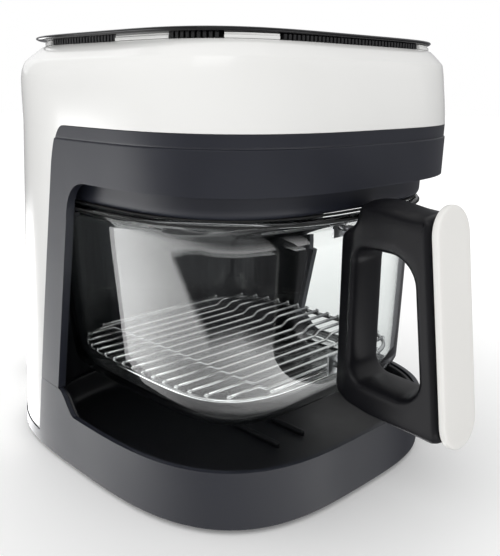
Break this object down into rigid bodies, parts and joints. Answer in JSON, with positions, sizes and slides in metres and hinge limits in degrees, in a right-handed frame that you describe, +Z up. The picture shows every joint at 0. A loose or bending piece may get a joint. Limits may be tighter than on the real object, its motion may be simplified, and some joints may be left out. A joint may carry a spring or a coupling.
{
  "type": "glass bowl hot air fryer",
  "caption": "Countertop hot-air fryer: white drum housing over a slide-out clear glass bowl with a black handle, wire rack and dark base tray.",
  "frame": {"origin": "centre of the base footprint, on the table plane under the feet", "axes": "+X to the appliance's left-right width (towards the right seen from the front), +Y to the rear, away from the handle, +Z up"},
  "size_m": [0.2712, 0.4522, 0.3062],
  "materials": {
    "white_shell": "gloss, warm white moulded",
    "frame_grey": "satin blue-grey moulded, fine grain",
    "black_gloss": "high gloss black panel",
    "black_plastic": "satin black moulded",
    "black_rubber": "matte",
    "red_silicone": "matte silicone",
    "red_plastic": "satin",
    "circuit_green": "solder mask",
    "coated_steel": "dark non-stick coating",
    "mineral_wool": "pressed fibre",
    "steel": "brushed",
    "aluminium_sheet": "sheet",
    "heater_tube": "heat-darkened",
    "ceramic_white": "glazed ceramic bushing",
    "lamination": "stacked laminations",
    "copper_wire": "enamelled copper",
    "sintered_bronze": "sintered",
    "clear_glass": "clear, slightly green at thick edges",
    "handle_black": "satin black",
    "grip_white": "satin off-white",
    "bright_steel": "polished wire"
  },
  "bodies": {
    "housing": {"outer_shell": "white_shell", "rear_cover": "white_shell", "front_frame": "frame_grey", "collar_ring": "frame_grey", "top_panel": "black_gloss", "vent_ring": "black_plastic", "panel_supports": "white_shell", "touch_board": "circuit_green", "display_module": "black_plastic", "power_board": "circuit_green", "board_screws": "steel", "heater_chamber": "steel", "insulation_pad": "mineral_wool", "heat_shield": "aluminium_sheet", "heating_element": "heater_tube", "element_terminals": "ceramic_white", "heater_guard": "steel", "temp_sensor": "steel", "thermal_cutout": "black_plastic", "motor_bracket": "steel", "motor_cap": "steel", "motor_stator": "lamination", "motor_windings": "copper_wire", "motor_bearings": "sintered_bronze", "motor_screws": "steel", "exhaust_duct": "aluminium_sheet", "exhaust_grille": "black_plastic", "cavity_liner": "coated_steel", "bowl_rails": "coated_steel", "chamber_seal": "black_rubber", "interlock_switch": "black_plastic", "plunger_spring": "steel", "wire_harness": "red_silicone", "base_shell": "frame_grey", "base_tray": "black_plastic", "base_plate": "black_plastic", "base_screws": "steel", "rubber_feet": "black_rubber", "cover_screws": "steel", "cord_gland": "black_rubber", "power_cord": "black_rubber", "power_plug": "black_rubber", "plug_pins": "steel", "cord_tie": "black_rubber"},
    "fan": {"fan_shaft": "steel", "motor_rotor": "lamination", "cooling_fan": "black_plastic", "hot_air_fan": "aluminium_sheet", "fan_nut": "sintered_bronze"},
    "bowl": {"glass_bowl": "clear_glass", "rim_seal": "black_rubber", "handle_body": "handle_black", "handle_cover": "grip_white", "handle_bracket": "steel", "handle_screws": "steel"},
    "rack": {"rack_frame": "bright_steel", "rack_rods": "bright_steel", "rack_feet": "black_rubber"},
    "plunger": {"interlock_plunger": "red_plastic"}
  },
  "joints": [
    {"name": "bowl_slide", "type": "slide", "parent": "housing", "child": "bowl", "axis": [0, -1, 0], "range_m": [0, 0.29]},
    {"name": "rack_lift", "type": "slide", "parent": "bowl", "child": "rack", "axis": [0, 0, 1], "range_m": [0, 0.09]},
    {"name": "fan_spin", "type": "hinge", "parent": "housing", "child": "fan", "pos_m": [0, -0.025, 0.25], "axis": [0, 0, 1], "continuous": true},
    {"name": "plunger_travel", "type": "slide", "parent": "housing", "child": "plunger", "axis": [0, -1, 0], "range_m": [0, 0.002], "deforming": ["plunger_spring"]}
  ],
  "couplings": [
    {"joint": "plunger_travel", "follows": "bowl_slide", "ratio": 0.00689}
  ]
}
